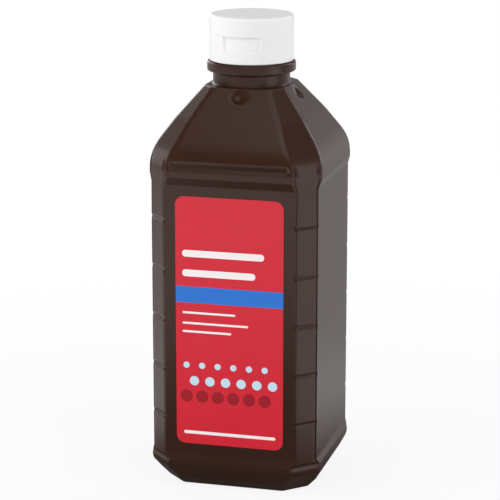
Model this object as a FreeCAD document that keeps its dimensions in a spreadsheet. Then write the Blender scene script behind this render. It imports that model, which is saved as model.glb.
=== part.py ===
"""Square flip-top solution bottle: blow-moulded shell, film labels, mouth seal, screw cap and flip lid.

The bottle stands on z = 0 with its axis on Z. The front label faces -Y and the cap's hinge faces +Y.
All lengths are in millimetres.
"""
import FreeCAD, Part
import math
import os

import Sketcher
from FreeCAD import Placement, Rotation, Vector

SIZES = {
    # Body, from the standing face up
    "heel_height": 8.0,
    "base_ring_height": 3.0,
    "lower_slope": 2.2,
    "panel_height": 102.3,
    "upper_slope": 4.0,
    "ring_height": 7.9,
    "shoulder_rise": 22.6,
    # Body, across
    "panel_width": 63.4,
    "panel_recess": 1.0,
    "corner_cut": 6.83,
    "foot_inset": 5.6,
    "foot_corner_inset": 7.2,
    "foot_round": 1.0,
    "heel_round": 6.0,
    "corner_heel_round": 3.0,
    "shoulder_round": 18.8,
    "corner_shoulder_drop": 1.7,
    "corner_shoulder_round": 15.0,
    "shoulder_ledge": 0.95,
    "top_corner_cut": 4.6,
    "wall": 1.1,
    # Push-up under the base
    "push_up_margin": 4.5,
    "push_up_depth": 2.0,
    "push_up_flare": 2.0,
    # Grooves across the corner columns
    "groove_low_gap": 14.25,
    "groove_high_gap": 12.8,
    "groove_height": 1.6,
    "groove_depth": 0.7,
    "foot_groove_height": 2.6,
    # Slot over the bead, front and back
    "slot_height": 2.7,
    "slot_depth": 0.7,
    "slot_drop": 3.4,
    "slot_end_gap": 0.3,
    # Dimple in each shoulder face
    "dimple_width": 5.6,
    "dimple_depth": 0.5,
    "dimple_drop": 4.6,
    # Neck and its thread
    "neck_radius": 14.36,
    "neck_wall": 1.6,
    "neck_length": 4.1,
    "collar_radius": 16.5,
    "collar_height": 4.2,
    "collar_bevel": 1.1,
    "finish_radius": 12.45,
    "finish_height": 9.0,
    "finish_wall": 1.85,
    "land_round": 0.5,
    "thread_pitch": 4.233,
    "thread_depth": 1.2,
    "thread_root": 2.3,
    "thread_crest": 1.1,
    "thread_start": 2.0,
    "thread_turns": 1.25,
    "thread_embed": 0.4,
    # Labels
    "label_side_gap": 4.4,
    "label_low_gap": 4.4,
    "label_high_gap": 3.2,
    "label_round": 3.3,
    "label_thickness": 0.12,
    # Mouth seal
    "seal_thickness": 0.4,
    "seal_clearance": 0.15,
    # Cap base
    "skirt_wall": 1.54,
    "cap_gap": 0.3,
    "thread_clearance": 0.5,
    "cap_thread_depth": 1.1,
    "cap_thread_root": 1.5,
    "cap_thread_crest": 0.8,
    "cap_thread_turns": 1.0,
    "ledge_rise": 0.9,
    "deck_thickness": 1.5,
    "orifice_radius": 1.75,
    "nozzle_wall": 1.3,
    "nozzle_rise": 1.2,
    "thumb_width": 14.7,
    "thumb_height": 6.0,
    "thumb_depth": 0.7,
    # Cap lid
    "lid_gap": 0.1,
    "lid_height": 6.9,
    "lid_wall": 1.4,
    "lid_top_thickness": 1.3,
    "lid_round": 1.0,
    "lid_rim_clearance": 0.35,
    "pin_clearance": 0.2,
    "pin_depth": 1.6,
    # Living hinge
    "hinge_flat_depth": 0.64,
    "hinge_flat_height": 2.8,
    "hinge_width": 8.0,
    "hinge_length": 4.4,
    "hinge_thickness": 0.35,
}
GROOVE_COUNT = 5
SLOT_END_SHARE = 0.49  # of the slot's height, so that its ends are all but half round
ROOT_TWO = math.sqrt(2)
SHEET = "Sizes"

doc = FreeCAD.newDocument("FlipTopBottle")


class Size:
    """A length as its value now and the sheet formula that gives it."""

    def __init__(self, value, formula):
        self.value = value
        self.formula = formula

    def __add__(self, other):
        return Size(self.value + value_of(other), f"({self.formula} + {formula_of(other)})")

    def __sub__(self, other):
        return Size(self.value - value_of(other), f"({self.formula} - {formula_of(other)})")

    def __mul__(self, factor):
        return Size(self.value * value_of(factor), f"({self.formula} * {formula_of(factor)})")

    def __truediv__(self, divisor):
        return Size(self.value / value_of(divisor), f"({self.formula} / {formula_of(divisor)})")

    def __neg__(self):
        return Size(-self.value, f"(-1 * {self.formula})")


FLUSH = Size(0.0, "0")


def value_of(length):
    return length.value if isinstance(length, Size) else length


def formula_of(length):
    return length.formula if isinstance(length, Size) else repr(length)


def hypotenuse(a, b):
    return Size(math.hypot(a.value, b.value), f"sqrt({a.formula} ^ 2 + {b.formula} ^ 2)")


def turn_across(width, radius):
    """The turn about an axis, in degrees, that spans a width at a radius."""
    turn = 2 * math.degrees(math.asin(width.value / 2 / radius.value))
    return Size(turn, f"(2 * asin({width.formula} / 2 / {radius.formula}))")


def write_sheet():
    sheet = doc.addObject("Spreadsheet::Sheet", SHEET)
    for row, (name, value) in enumerate(SIZES.items(), start=1):
        sheet.set(f"A{row}", name)
        sheet.set(f"B{row}", str(value))
        sheet.setAlias(f"B{row}", name)
    doc.recompute()


def size(name):
    return Size(SIZES[name], f"{SHEET}.{name}")


def bind(thing, prop, length):
    """Ties a property to the sheet."""
    thing.setExpression(prop, formula_of(length))


class Outline:
    """A closed outline in a sketch, drawn anticlockwise corner by corner and tied to the sheet."""

    def __init__(self, sketch):
        self.sketch = sketch
        self.corners = []
        self.ties = []

    def corner(self, across, up, round_radius=None):
        self.corners.append((across, up, round_radius))

    def trim(self, index):
        """Where a corner's rounding starts and ends, and its arc. A sharp corner has no arc."""
        spots = [Vector(value_of(across), value_of(up), 0) for across, up, _ in self.corners]
        spot = spots[index]
        round_radius = self.corners[index][2]
        if round_radius is None:
            return spot, spot, None
        back = (spots[index - 1] - spot).normalize()
        ahead = (spots[(index + 1) % len(spots)] - spot).normalize()
        half_angle = back.getAngle(ahead) / 2
        reach = round_radius.value / math.tan(half_angle)
        centre = spot + (back + ahead).normalize() * (round_radius.value / math.sin(half_angle))
        start = spot + back * reach
        end = spot + ahead * reach
        turns_left = back.cross(ahead).z < 0
        first, last = (start, end) if turns_left else (end, start)
        circle = Part.Circle(centre, Vector(0, 0, 1), round_radius.value)
        arc = Part.ArcOfCircle(circle, circle.parameter(first), circle.parameter(last))
        return start, end, (arc, turns_left)

    def tie(self, constraint, length):
        """Adds a dimension and notes the formula that drives it."""
        self.ties.append((self.sketch.addConstraint(constraint), length))

    def place(self, geometry, end, across, up):
        """Fixes one point of the sketch across and up from its origin."""
        if value_of(across) == 0:
            self.sketch.addConstraint(Sketcher.Constraint("PointOnObject", geometry, end, -2))
        else:
            self.tie(Sketcher.Constraint("DistanceX", -1, 1, geometry, end, across.value), across)
        if value_of(up) == 0:
            self.sketch.addConstraint(Sketcher.Constraint("PointOnObject", geometry, end, -1))
        else:
            self.tie(Sketcher.Constraint("DistanceY", -1, 1, geometry, end, up.value), up)

    def close(self):
        sketch = self.sketch
        count = len(self.corners)
        trims = [self.trim(index) for index in range(count)]
        sides = []
        for index in range(count):
            start = trims[index][1]
            end = trims[(index + 1) % count][0]
            sides.append(sketch.addGeometry(Part.LineSegment(start, end), False))
        for index, (across, up, round_radius) in enumerate(self.corners):
            before = sides[index - 1]
            after = sides[index]
            if round_radius is None:
                sketch.addConstraint(Sketcher.Constraint("Coincident", before, 2, after, 1))
                self.place(after, 1, across, up)
                continue
            arc, turns_left = trims[index][2]
            bend = sketch.addGeometry(arc, False)
            enter, leave = (1, 2) if turns_left else (2, 1)
            sketch.addConstraint(Sketcher.Constraint("Tangent", before, 2, bend, enter))
            sketch.addConstraint(Sketcher.Constraint("Tangent", bend, leave, after, 1))
            spot = sketch.addGeometry(Part.Point(Vector(across.value, value_of(up), 0)), True)
            sketch.addConstraint(Sketcher.Constraint("PointOnObject", spot, 1, before))
            sketch.addConstraint(Sketcher.Constraint("PointOnObject", spot, 1, after))
            self.place(spot, 1, across, up)
            self.tie(Sketcher.Constraint("Radius", bend, round_radius.value), round_radius)
        for constraint, length in self.ties:
            sketch.setExpression(f"Constraints[{constraint}]", length.formula)


def draw(sketch, corners):
    outline = Outline(sketch)
    for corner in corners:
        outline.corner(*corner)
    outline.close()
    return sketch


def both_sides(right):
    """The corners of a right-hand profile and of its mirror image, as one closed outline."""
    left = [(-across, up, *rest) for across, up, *rest in reversed(right)]
    return right + left


def upright_sketch(name, turn=0):
    """A sketch that stands on the Z axis, faces -Y and is then turned about Z."""
    sketch = doc.addObject("Sketcher::SketchObject", name)
    stand = Rotation(Vector(1, 0, 0), 90)
    sketch.Placement = Placement(Vector(), Rotation(Vector(0, 0, 1), turn) * stand)
    return sketch


def extrude(name, sketch, length, symmetric=True):
    solid = doc.addObject("Part::Extrusion", name)
    solid.Base = sketch
    solid.DirMode = "Normal"
    solid.Symmetric = symmetric
    solid.Solid = True
    bind(solid, "LengthFwd", length)
    return solid


def mirror(name, source, normal):
    copy = doc.addObject("Part::Mirroring", name)
    copy.Source = source
    copy.Normal = normal
    return copy


def gather(kind, name, shapes):
    group = doc.addObject(kind, name)
    group.Shapes = shapes
    return group


def cut(name, base, tool):
    result = doc.addObject("Part::Cut", name)
    result.Base = base
    result.Tool = tool
    return result


def new_body(name):
    body = doc.addObject("PartDesign::Body", name)
    body.Label = name
    return body


def body_sketch(body, name, role, offset=None):
    """A sketch on one of the body's own planes, or at an offset along that plane's normal."""
    sketch = body.newObject("Sketcher::SketchObject", name)
    planes = [feature for feature in body.Origin.OriginFeatures if feature.Role == role]
    sketch.AttachmentSupport = (planes[0], [""])
    sketch.MapMode = "FlatFace"
    if offset is not None:
        bind(sketch, "AttachmentOffset.Base.z", offset)
    return sketch


def pad(body, name, sketch, length):
    feature = body.newObject("PartDesign::Pad", name)
    feature.Profile = sketch
    bind(feature, "Length", length)
    return feature


def revolve(body, name, sketch):
    feature = body.newObject("PartDesign::Revolution", name)
    feature.Profile = sketch
    feature.ReferenceAxis = (sketch, ["V_Axis"])
    feature.Angle = 360
    return feature


def add_thread(body, name, sketch, turns):
    """A right-hand thread ridge, swept up from its section."""
    ridge = body.newObject("PartDesign::AdditiveHelix", name)
    ridge.Profile = sketch
    ridge.ReferenceAxis = (sketch, ["V_Axis"])
    ridge.Mode = "pitch-turns-angle"
    ridge.LeftHanded = False
    ridge.Reversed = False
    bind(ridge, "Pitch", size("thread_pitch"))
    bind(ridge, "Turns", turns)
    return ridge


# Levels and half widths that more than one piece uses
ring_low = size("heel_height")
panel_low = ring_low + size("base_ring_height") + size("lower_slope")
panel_high = panel_low + size("panel_height")
ring_high = panel_high + size("upper_slope")
shoulder_edge = ring_high + size("ring_height")
shoulder_top = shoulder_edge + size("shoulder_rise")
collar_low = shoulder_top + size("neck_length")
collar_top = collar_low + size("collar_height")
land = collar_top + size("finish_height")
panel_half = size("panel_width") / 2
ring_half = panel_half + size("panel_recess")
top_half = size("neck_radius") + size("shoulder_ledge")
panel_flat_half = panel_half - size("corner_cut")
corner_half = (panel_half * 2 - size("corner_cut")) / ROOT_TWO
top_corner_half = (top_half * 2 - size("top_corner_cut")) / ROOT_TWO
thread_level = collar_top + size("thread_start")


def face_corners(inset):
    """Right-hand profile of the flat sides, drawn in by an inset."""
    return both_sides([
        (ring_half - size("foot_inset") - inset, inset, size("foot_round")),
        (ring_half - inset, ring_low, size("heel_round")),
        (ring_half - inset, ring_low + size("base_ring_height")),
        (panel_half - inset, panel_low),
        (panel_half - inset, panel_high),
        (ring_half - inset, ring_high),
        (ring_half - inset, shoulder_edge, size("shoulder_round")),
        (top_half - inset, shoulder_top - inset),
    ])


def column_corners(inset, grooves):
    """Right-hand profile across two opposite corner columns, drawn in by an inset."""
    outer = corner_half - inset
    corners = [
        (corner_half - size("foot_corner_inset") - inset, inset, size("foot_round")),
        (outer, ring_low, size("corner_heel_round")),
    ]
    for middle, height in grooves:
        corners += [
            (outer, middle - height / 2),
            (outer - size("groove_depth"), middle),
            (outer, middle + height / 2),
        ]
    corners += [
        (outer, shoulder_edge - size("corner_shoulder_drop"), size("corner_shoulder_round")),
        (top_corner_half - inset, shoulder_top - inset),
    ]
    return both_sides(corners)


def column_grooves():
    """Middle level and height of each groove: one at the foot, then an even row up the panel."""
    first = panel_low + size("groove_low_gap")
    last = panel_high - size("groove_high_gap")
    pitch = (last - first) / (GROOVE_COUNT - 1)
    foot = panel_low - size("lower_slope")
    row = [(first + pitch * index, size("groove_height")) for index in range(GROOVE_COUNT)]
    return [(foot, size("foot_groove_height"))] + row


def eight_sided(name, face_profile, column_profile):
    """The solid that two crossed face prisms and two crossed column prisms share."""
    length = size("panel_width") * 2
    face = extrude(name + "_face", draw(upright_sketch(name + "_face_profile"), face_profile), length)
    column_sketch = draw(upright_sketch(name + "_column_profile", 45), column_profile)
    column = extrude(name + "_column", column_sketch, length)
    face_across = mirror(name + "_face_across", face, Vector(1, -1, 0))
    column_across = mirror(name + "_column_across", column, Vector(1, 0, 0))
    return gather("Part::MultiCommon", name, [face, face_across, column, column_across])


def push_up(name, grow):
    """The hollow under the base, or that hollow grown by the wall."""
    cone = doc.addObject("Part::Cone", name)
    foot_half = ring_half - size("foot_inset")
    top_radius = foot_half - size("push_up_margin") - size("push_up_flare")
    bind(cone, "Radius1", foot_half - size("push_up_margin") + grow)
    bind(cone, "Radius2", top_radius + grow)
    bind(cone, "Height", size("push_up_depth") + grow)
    return cone


def shoulder_slot():
    """The slot over the bead on the front, open towards the front."""
    middle = shoulder_edge - size("slot_drop")
    half = panel_flat_half - size("slot_end_gap")
    half_height = size("slot_height") / 2
    sketch = upright_sketch("slot_profile")
    bind(sketch, "Placement.Base.y", size("slot_depth") - ring_half)
    ends = [(half, -half_height), (half, half_height), (-half, half_height), (-half, -half_height)]
    round_radius = size("slot_height") * SLOT_END_SHARE
    draw(sketch, [(across, middle + up, round_radius) for across, up in ends])
    return extrude("front_slot", sketch, size("panel_width"), symmetric=False)


def shoulder_dimple(name, turn):
    """A ball that dents one shoulder face below the neck."""
    run = ring_half - top_half
    rise = size("shoulder_rise")
    slope = hypotenuse(run, rise)
    half_width = size("dimple_width") / 2
    depth = size("dimple_depth")
    radius = (half_width * half_width + depth * depth) / (depth * 2)
    stand_off = radius - depth
    out = top_half + run * size("dimple_drop") / slope + rise * stand_off / slope
    up = shoulder_top - rise * size("dimple_drop") / slope + run * stand_off / slope
    ball = doc.addObject("Part::Sphere", name)
    bind(ball, "Radius", radius)
    facing = Rotation(Vector(0, 0, 1), turn).multVec(Vector(0, -1, 0))
    bind(ball, "Placement.Base.x", out * round(facing.x))
    bind(ball, "Placement.Base.y", out * round(facing.y))
    bind(ball, "Placement.Base.z", up)
    return ball


def threaded_neck():
    """Neck, collar and threaded finish as one turned solid, not yet bored."""
    body = new_body("neck_turned")
    neck = size("neck_radius")
    collar = size("collar_radius")
    finish = size("finish_radius")
    low = shoulder_top - size("wall") / 2
    profile = draw(body_sketch(body, "neck_profile", "XZ_Plane"), [
        (0, low),
        (neck, low),
        (neck, collar_low),
        (collar, collar_low + size("collar_bevel")),
        (collar, collar_top),
        (finish, collar_top),
        (finish, land, size("land_round")),
        (0, land),
    ])
    revolve(body, "neck_revolution", profile)
    crest = finish + size("thread_depth")
    ridge = draw(body_sketch(body, "neck_thread_profile", "XZ_Plane"), [
        (finish - size("thread_embed"), thread_level - size("thread_root") / 2),
        (finish, thread_level - size("thread_root") / 2),
        (crest, thread_level - size("thread_crest") / 2),
        (crest, thread_level + size("thread_crest") / 2),
        (finish, thread_level + size("thread_root") / 2),
        (finish - size("thread_embed"), thread_level + size("thread_root") / 2),
    ])
    add_thread(body, "neck_thread", ridge, size("thread_turns"))
    return body


def neck_bore():
    """The way through the neck: wide under the collar, narrower through the finish."""
    body = new_body("bore_turned")
    wide = size("neck_radius") - size("neck_wall")
    narrow = size("finish_radius") - size("finish_wall")
    low = shoulder_top - size("wall") * 2
    profile = draw(body_sketch(body, "bore_profile", "XZ_Plane"), [
        (0, low),
        (wide, low),
        (wide, collar_low),
        (narrow, collar_top),
        (narrow, land + size("wall")),
        (0, land + size("wall")),
    ])
    revolve(body, "bore_revolution", profile)
    return body


def bottle_shell():
    wall = size("wall")
    outside = eight_sided("outside", face_corners(FLUSH), column_corners(FLUSH, column_grooves()))
    inside = eight_sided("inside", face_corners(wall), column_corners(wall + size("groove_depth"), []))
    front_slot = shoulder_slot()
    dents = [push_up("push_up", FLUSH), front_slot, mirror("back_slot", front_slot, Vector(0, 1, 0))]
    dents += [shoulder_dimple(f"dimple_{turn}", turn) for turn in (0, 90, 180, 270)]
    dented = cut("dented_outside", outside, gather("Part::MultiFuse", "dents", dents))
    full = gather("Part::MultiFuse", "full_bottle", [dented, threaded_neck()])
    floor_rise = push_up("inner_push_up", wall)
    cavity = gather("Part::MultiFuse", "cavity", [cut("inside_over_floor", inside, floor_rise), neck_bore()])
    shell = cut("bottle_cut", full, cavity)
    shell.Label = "bottle_shell"
    return shell


def label(name, side):
    """A film label on the front panel (side 1) or the back panel (side -1)."""
    body = new_body(name)
    half = panel_flat_half - size("label_side_gap")
    low = panel_low + size("label_low_gap")
    high = panel_high - size("label_high_gap")
    corner = size("label_round")
    profile = draw(body_sketch(body, name + "_profile", "XZ_Plane", panel_half * side), [
        (half, low, corner),
        (half, high, corner),
        (-half, high, corner),
        (-half, low, corner),
    ])
    film = pad(body, name + "_film", profile, size("label_thickness"))
    film.Reversed = side < 0
    return body


def mouth_seal():
    disc = doc.addObject("Part::Cylinder", "mouth_seal")
    bind(disc, "Radius", size("finish_radius") - size("seal_clearance"))
    bind(disc, "Height", size("seal_thickness"))
    bind(disc, "Placement.Base.z", land)
    return disc


# Levels and radii that the cap's pieces share
skirt_low = collar_top + size("cap_gap")
deck_low = land + size("seal_thickness")
ledge = deck_low + size("ledge_rise")
deck_top = deck_low + size("deck_thickness")
nozzle_top = deck_top + size("nozzle_rise")
lid_low = ledge + size("lid_gap")
lid_top = lid_low + size("lid_height")
skirt_inside = size("finish_radius") + size("thread_depth") + size("thread_clearance")
cap_radius = skirt_inside + size("skirt_wall")
lid_inside = cap_radius - size("lid_wall")
hinge_flat = cap_radius - size("hinge_flat_depth")


def cut_hinge_flat(body, name, low, high):
    """Cuts the flat at the back of the cap that the hinge web lies on."""
    half = size("hinge_width")
    profile = draw(body_sketch(body, name + "_profile", "XZ_Plane", -hinge_flat), [
        (half, low),
        (half, high),
        (-half, high),
        (-half, low),
    ])
    pocket = body.newObject("PartDesign::Pocket", name)
    pocket.Profile = profile
    bind(pocket, "Length", cap_radius)
    return pocket


def cut_thumb_recess(body):
    """Cuts the shallow recess under the lid's front edge, at one depth round the skirt."""
    outer = cap_radius + size("thumb_depth")
    inner = cap_radius - size("thumb_depth")
    low = ledge - size("thumb_height")
    high = ledge + size("thumb_depth")
    profile = draw(body_sketch(body, "thumb_profile", "YZ_Plane"), [
        (-outer, low),
        (-inner, low),
        (-inner, high),
        (-outer, high),
    ])
    groove = body.newObject("PartDesign::Groove", "thumb_recess")
    groove.Profile = profile
    groove.ReferenceAxis = (profile, ["V_Axis"])
    groove.Midplane = True
    bind(groove, "Angle", turn_across(size("thumb_width"), cap_radius))
    return groove


def cap_base():
    body = new_body("cap_base")
    orifice = size("orifice_radius")
    nozzle = orifice + size("nozzle_wall")
    rim = lid_inside - size("lid_rim_clearance")
    profile = draw(body_sketch(body, "base_profile", "XZ_Plane"), [
        (orifice, deck_low),
        (skirt_inside, deck_low),
        (skirt_inside, skirt_low),
        (cap_radius, skirt_low),
        (cap_radius, ledge),
        (rim, ledge),
        (rim, deck_top),
        (nozzle, deck_top),
        (nozzle, nozzle_top),
        (orifice, nozzle_top),
    ])
    revolve(body, "base_revolution", profile)
    cut_thumb_recess(body)
    cut_hinge_flat(body, "base_hinge_flat", ledge - size("hinge_flat_height"), lid_low)
    crest = skirt_inside - size("cap_thread_depth")
    root_half = size("cap_thread_root") / 2
    crest_half = size("cap_thread_crest") / 2
    ridge = draw(body_sketch(body, "base_thread_profile", "XZ_Plane"), [
        (-skirt_inside - size("thread_embed"), thread_level - root_half),
        (-skirt_inside, thread_level - root_half),
        (-crest, thread_level - crest_half),
        (-crest, thread_level + crest_half),
        (-skirt_inside, thread_level + root_half),
        (-skirt_inside - size("thread_embed"), thread_level + root_half),
    ])
    add_thread(body, "base_thread", ridge, size("cap_thread_turns"))
    return body


def cap_lid():
    body = new_body("cap_lid")
    pin = size("orifice_radius") - size("pin_clearance")
    under = lid_top - size("lid_top_thickness")
    profile = draw(body_sketch(body, "lid_profile", "XZ_Plane"), [
        (0, nozzle_top - size("pin_depth")),
        (pin, nozzle_top - size("pin_depth")),
        (pin, under),
        (lid_inside, under),
        (lid_inside, lid_low),
        (cap_radius, lid_low),
        (cap_radius, lid_top, size("lid_round")),
        (0, lid_top),
    ])
    revolve(body, "lid_revolution", profile)
    cut_hinge_flat(body, "lid_hinge_flat", ledge, lid_low + size("hinge_flat_height"))
    return body


def living_hinge():
    """The thin web over the parting line, seated on the flats of the base and the lid."""
    web = doc.addObject("Part::Box", "living_hinge")
    bind(web, "Length", size("hinge_width"))
    bind(web, "Width", size("hinge_thickness"))
    bind(web, "Height", size("hinge_length"))
    bind(web, "Placement.Base.x", -size("hinge_width") / 2)
    bind(web, "Placement.Base.y", hinge_flat)
    bind(web, "Placement.Base.z", (ledge + lid_low) / 2 - size("hinge_length") / 2)
    return web


def check(sub_parts):
    """Stops if anything failed to build."""
    for thing in doc.Objects:
        if "Invalid" in thing.State or "Error" in thing.State:
            raise RuntimeError(f"{thing.Name} did not build: {thing.State}")
    for sub_part in sub_parts:
        shape = sub_part.Shape
        if shape.isNull() or not shape.isValid() or len(shape.Solids) != 1:
            raise RuntimeError(f"{sub_part.Label} is not one sound solid")


write_sheet()
pieces = [
    bottle_shell(),
    label("front_label", 1),
    label("back_label", -1),
    mouth_seal(),
    cap_base(),
    cap_lid(),
    living_hinge(),
]
doc.recompute()
check(pieces)
os.makedirs("parts", exist_ok=True)
for piece in pieces:
    piece.Shape.exportStep(f"parts/{piece.Label}.step")
    print(f"{piece.Label}: {piece.Shape.Volume:.1f} mm3")
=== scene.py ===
"""Looks of the square flip-top solution bottle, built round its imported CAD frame, in metres."""
import math

import bmesh
import bpy
import numpy as np
from mathutils import Matrix, Vector


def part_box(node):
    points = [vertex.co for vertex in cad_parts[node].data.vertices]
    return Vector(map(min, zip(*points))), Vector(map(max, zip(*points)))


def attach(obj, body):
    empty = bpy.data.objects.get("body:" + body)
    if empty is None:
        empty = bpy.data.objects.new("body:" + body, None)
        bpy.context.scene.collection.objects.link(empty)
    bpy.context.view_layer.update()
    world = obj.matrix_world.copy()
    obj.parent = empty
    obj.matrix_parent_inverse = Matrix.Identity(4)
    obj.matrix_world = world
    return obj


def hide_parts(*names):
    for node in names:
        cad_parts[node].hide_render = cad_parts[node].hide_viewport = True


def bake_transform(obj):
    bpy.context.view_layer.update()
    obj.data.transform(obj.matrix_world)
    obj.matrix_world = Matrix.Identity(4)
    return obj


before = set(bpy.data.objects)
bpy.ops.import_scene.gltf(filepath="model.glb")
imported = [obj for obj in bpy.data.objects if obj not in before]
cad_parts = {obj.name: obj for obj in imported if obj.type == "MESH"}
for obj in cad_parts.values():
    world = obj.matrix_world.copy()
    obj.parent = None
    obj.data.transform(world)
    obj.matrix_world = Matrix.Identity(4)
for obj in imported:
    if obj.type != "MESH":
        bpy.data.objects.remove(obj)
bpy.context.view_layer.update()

# Bottle shell
# A dark brown HDPE shell, blow-moulded in one piece: four flat sides with recessed label panels, four
# corner columns with cross grooves, sloping shoulders with a dimple each, and a collar and threaded neck
# that the cap screws on to.
MM = 0.001
shell_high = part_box("bottle_shell")[1]
ring_half = shell_high.x
land = shell_high.z
panel_half = -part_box("front_label")[1].y
wall = 1.1 * MM
heel_height = 8.0 * MM
base_ring_top = 11.0 * MM
panel_low = 13.2 * MM
panel_high = 116.05 * MM
bead_low = 119.15 * MM
shoulder_edge = 127.4 * MM
shoulder_top = 150.0 * MM
top_half = 15.31 * MM
foot_half = 27.1 * MM
heel_half = 30.5 * MM
heel_bulge_level = 3.6 * MM
crown_half = 24.4 * MM
crown_level = 139.0 * MM
crown_round = 40.0 * MM
column_crown_half = 29.75 * MM
column_crown_level = 138.35 * MM
column_half = 40.0 * MM
column_foot_half = 32.8 * MM
column_top_half = 18.4 * MM
column_shoulder_edge = 125.7 * MM
foot_round = 1.0 * MM
heel_round = 6.0 * MM
column_heel_round = 3.0 * MM
recess_low_round = 1.5 * MM
recess_high_round = 2.0 * MM
shoulder_round = 18.8 * MM
column_shoulder_round = 15.0 * MM
groove_depth = 0.55 * MM
groove_height = 2.2 * MM
groove_lip_round = 0.25 * MM
foot_groove_height = 2.6 * MM
groove_low = 27.45 * MM
groove_pitch = 18.8125 * MM
groove_count = 5
ARC_STEPS = 8
SMALL_ARC_STEPS = 4
small_round = 0.3 * MM
WELD = 0.001 * MM


def rounded(corners):
    """A profile's corners (half width, level, round radius) as points, with each round corner an arc."""
    spots = [Vector(corner[:2]) for corner in corners]
    points = [spots[0]]
    for before, spot, after, corner in zip(spots, spots[1:], spots[2:], corners[1:]):
        back = (before - spot).normalized()
        ahead = (after - spot).normalized()
        half_angle = back.angle(ahead) / 2
        centre = spot + (back + ahead).normalized() * (corner[2] / math.sin(half_angle))
        start = spot + back * (corner[2] / math.tan(half_angle)) - centre
        sweep = start.angle_signed(spot + ahead * (corner[2] / math.tan(half_angle)) - centre)
        steps = ARC_STEPS if corner[2] > small_round else SMALL_ARC_STEPS
        for step in range(steps + 1):
            points.append(centre + Matrix.Rotation(-sweep * step / steps, 2) @ start)
    return points + [spots[-1]]


def face_profile(inset):
    """Profile of the flat sides, drawn in by an inset."""
    return rounded([
        (foot_half - inset - foot_round, inset),
        (foot_half - inset, inset, foot_round),
        (heel_half - inset, heel_bulge_level, heel_round),
        (ring_half - inset, heel_height, heel_round),
        (ring_half - inset, base_ring_top, recess_low_round),
        (panel_half - inset, panel_low, recess_low_round),
        (panel_half - inset, panel_high, recess_high_round),
        (ring_half - inset, bead_low, recess_high_round),
        (ring_half - inset, shoulder_edge, shoulder_round),
        (crown_half - inset, crown_level, crown_round),
        (top_half - inset, shoulder_top - inset),
    ])[1:]


def column_profile(inset, grooves):
    """Profile of the corner columns, drawn in by an inset, with a V groove at each given level."""
    outer = column_half - inset
    corners = [
        (column_foot_half - inset - foot_round, inset),
        (column_foot_half - inset, inset, foot_round),
        (outer, heel_height, column_heel_round),
    ]
    for middle, height in grooves:
        corners += [
            (outer, middle - height / 2, groove_lip_round),
            (outer - groove_depth, middle, groove_lip_round),
            (outer, middle + height / 2, groove_lip_round),
        ]
    corners += [
        (outer, column_shoulder_edge, column_shoulder_round),
        (column_crown_half - inset, column_crown_level, crown_round),
        (column_top_half - inset, shoulder_top - inset),
    ]
    return rounded(corners)[1:]


def width_at(profile, level):
    """Half width of a profile at a level."""
    return float(np.interp(level, [spot.y for spot in profile], [spot.x for spot in profile]))


# Points along each side of a section, from -1 to 1: close together where the dimples, the slots' ends and
# the columns' edge grooves lie.
FRONT_STOPS = np.concatenate([
    np.linspace(-1, -0.9, 8, endpoint=False),
    np.linspace(-0.9, -0.3, 6, endpoint=False),
    np.linspace(-0.3, 0.3, 17, endpoint=False),
    np.linspace(0.3, 0.9, 6, endpoint=False),
    np.linspace(0.9, 1, 9),
])
SIDE_STOPS = np.concatenate([
    np.linspace(-1, -0.3, 5, endpoint=False),
    np.linspace(-0.3, 0.3, 17, endpoint=False),
    np.linspace(0.3, 1, 6),
])
EDGE_GROOVE_STOP = 0.945
EDGE_GROOVE_SPAN = 0.055
COLUMN_STOPS = np.concatenate([
    np.linspace(-1, -1 + 2 * EDGE_GROOVE_SPAN, 5),
    np.linspace(-0.6, 0.6, 5),
    np.linspace(1 - 2 * EDGE_GROOVE_SPAN, 1, 5),
])
CORNER_STEPS = 5
SIDE_TURN = math.pi / 4


def side_normal(side):
    """Outward direction of side 0 (the front), 1 (the column to its right), 2 (the right) and so on."""
    turn = side * SIDE_TURN - math.pi / 2
    return Vector((math.cos(turn), math.sin(turn)))


def section(face, column, edge, edge_groove=0):
    """The eight-sided section with round corners, as (side, point) pairs. A corner's points have no side.
    A fine groove of a given depth runs along both edges of each column."""
    widths = [face, column] * 4
    lean = math.cos(SIDE_TURN)
    centres = []
    for side in range(8):
        here = widths[side] - edge
        beyond = widths[(side + 1) % 8] - edge
        share = 1 - lean * lean
        centres.append(side_normal(side) * ((here - lean * beyond) / share)
                       + side_normal(side + 1) * ((beyond - lean * here) / share))
    points = []
    for side in range(8):
        start = centres[side - 1] + side_normal(side) * edge
        end = centres[side] + side_normal(side) * edge
        stops = COLUMN_STOPS if side % 2 else SIDE_STOPS if side % 4 else FRONT_STOPS
        for stop in stops:
            point = start.lerp(end, (stop + 1) / 2)
            if side % 2:
                sunk = max(1 - abs(abs(stop) - EDGE_GROOVE_STOP) / EDGE_GROOVE_SPAN, 0)
                point = point - side_normal(side) * (edge_groove * sunk)
            points.append((side, point))
        for step in range(1, CORNER_STEPS):
            points.append((None, centres[side] + side_normal(side + step / CORNER_STEPS) * edge))
    return points


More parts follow.
